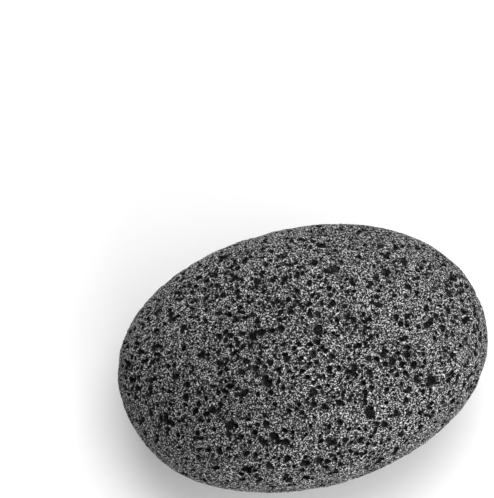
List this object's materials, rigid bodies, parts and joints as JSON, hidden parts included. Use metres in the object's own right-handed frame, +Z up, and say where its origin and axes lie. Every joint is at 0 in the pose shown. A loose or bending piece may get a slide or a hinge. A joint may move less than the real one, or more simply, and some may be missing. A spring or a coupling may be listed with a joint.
{
  "type": "pumice stone",
  "caption": "Oval pumice stone of grey lava froth, tumbled smooth in outline and pitted all over, for rubbing hard skin from feet.",
  "frame": {"origin": "on the surface that the stone rests on, under the middle of its box", "axes": "+X along the stone's length, +Y across its width, +Z up through its thickness"},
  "size_m": [0.0946, 0.0666, 0.0437],
  "materials": {
    "pumice": "matte"
  },
  "bodies": {
    "root": {"stone": "pumice"}
  },
  "joints": []
}
